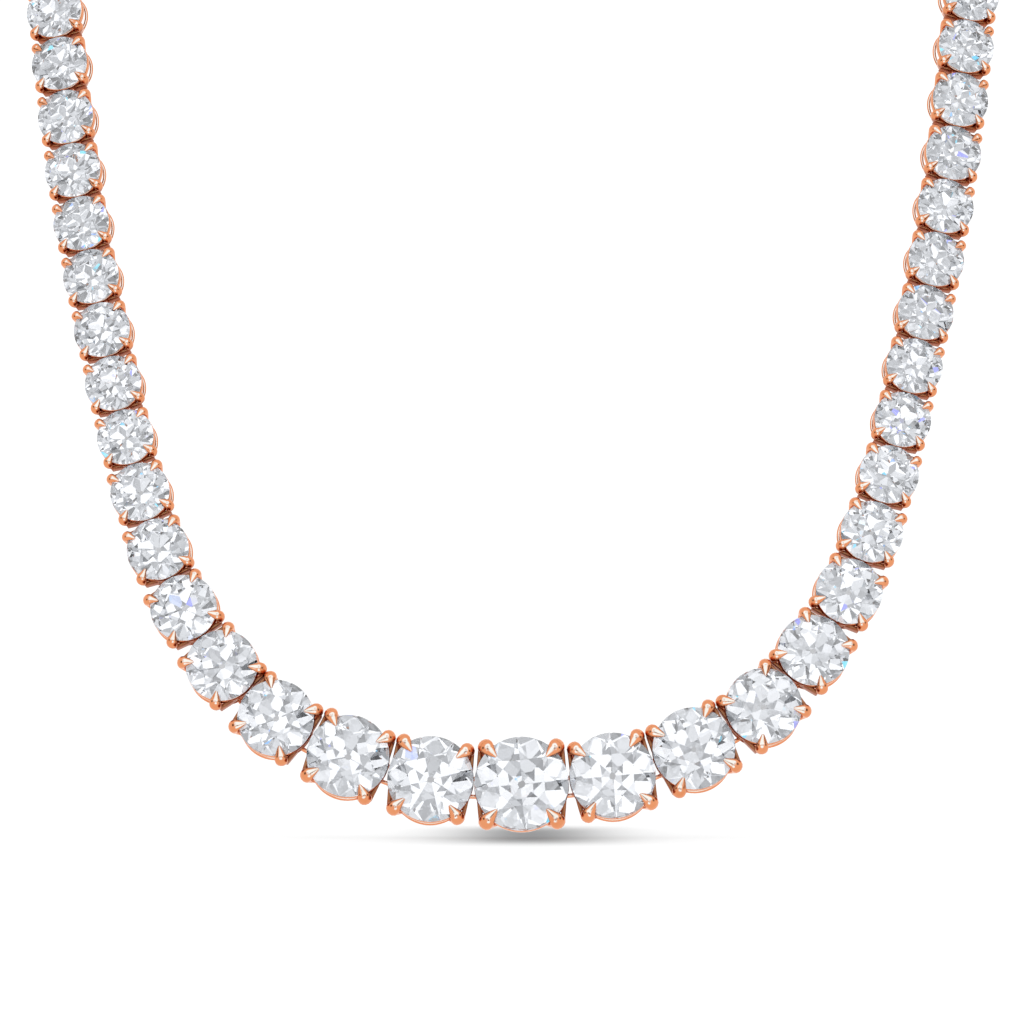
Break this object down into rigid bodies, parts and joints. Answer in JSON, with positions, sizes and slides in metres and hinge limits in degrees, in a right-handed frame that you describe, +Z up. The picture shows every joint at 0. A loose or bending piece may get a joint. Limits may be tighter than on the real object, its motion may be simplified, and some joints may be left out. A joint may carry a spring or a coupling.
{
  "type": "riviere necklace",
  "caption": "Closed row of round faceted stones in four-claw baskets, graduated to the front, joined by small oval links",
  "frame": {"origin": "the nape point in the middle of the back of the loop, at the level of the chain's links, where the necklace rests on the back of a neck", "axes": "+Z is up as the necklace hangs, +X is the wearer's left and the viewer's right, -Y is the front, towards the viewer"},
  "size_m": [0.1065, 0.0826, 0.1351],
  "materials": {
    "stone": "polished facets",
    "setting": "polished rose gold",
    "link": "polished rose gold wire"
  },
  "bodies": {
    "root": {"stone_front": "stone", "stone_right_1": "stone", "stone_right_2": "stone", "stone_right_3": "stone", "stone_right_4": "stone", "stone_right_5": "stone", "stone_right_6": "stone", "stone_right_7": "stone", "stone_right_8": "stone", "stone_right_9": "stone", "stone_right_10": "stone", "stone_right_11": "stone", "stone_right_12": "stone", "stone_right_13": "stone", "stone_right_14": "stone", "stone_right_15": "stone", "stone_right_16": "stone", "stone_left_1": "stone", "stone_left_2": "stone", "stone_left_3": "stone", "stone_left_4": "stone", "stone_left_5": "stone", "stone_left_6": "stone", "stone_left_7": "stone", "stone_left_8": "stone", "stone_left_9": "stone", "stone_left_10": "stone", "stone_left_11": "stone", "stone_left_12": "stone", "stone_left_13": "stone", "stone_left_14": "stone", "stone_left_15": "stone", "stone_left_16": "stone", "stones_back": "stone", "setting_front": "setting", "settings_right": "setting", "settings_left": "setting", "links_right": "link", "links_left": "link", "clasp": "setting"}
  },
  "joints": []
}
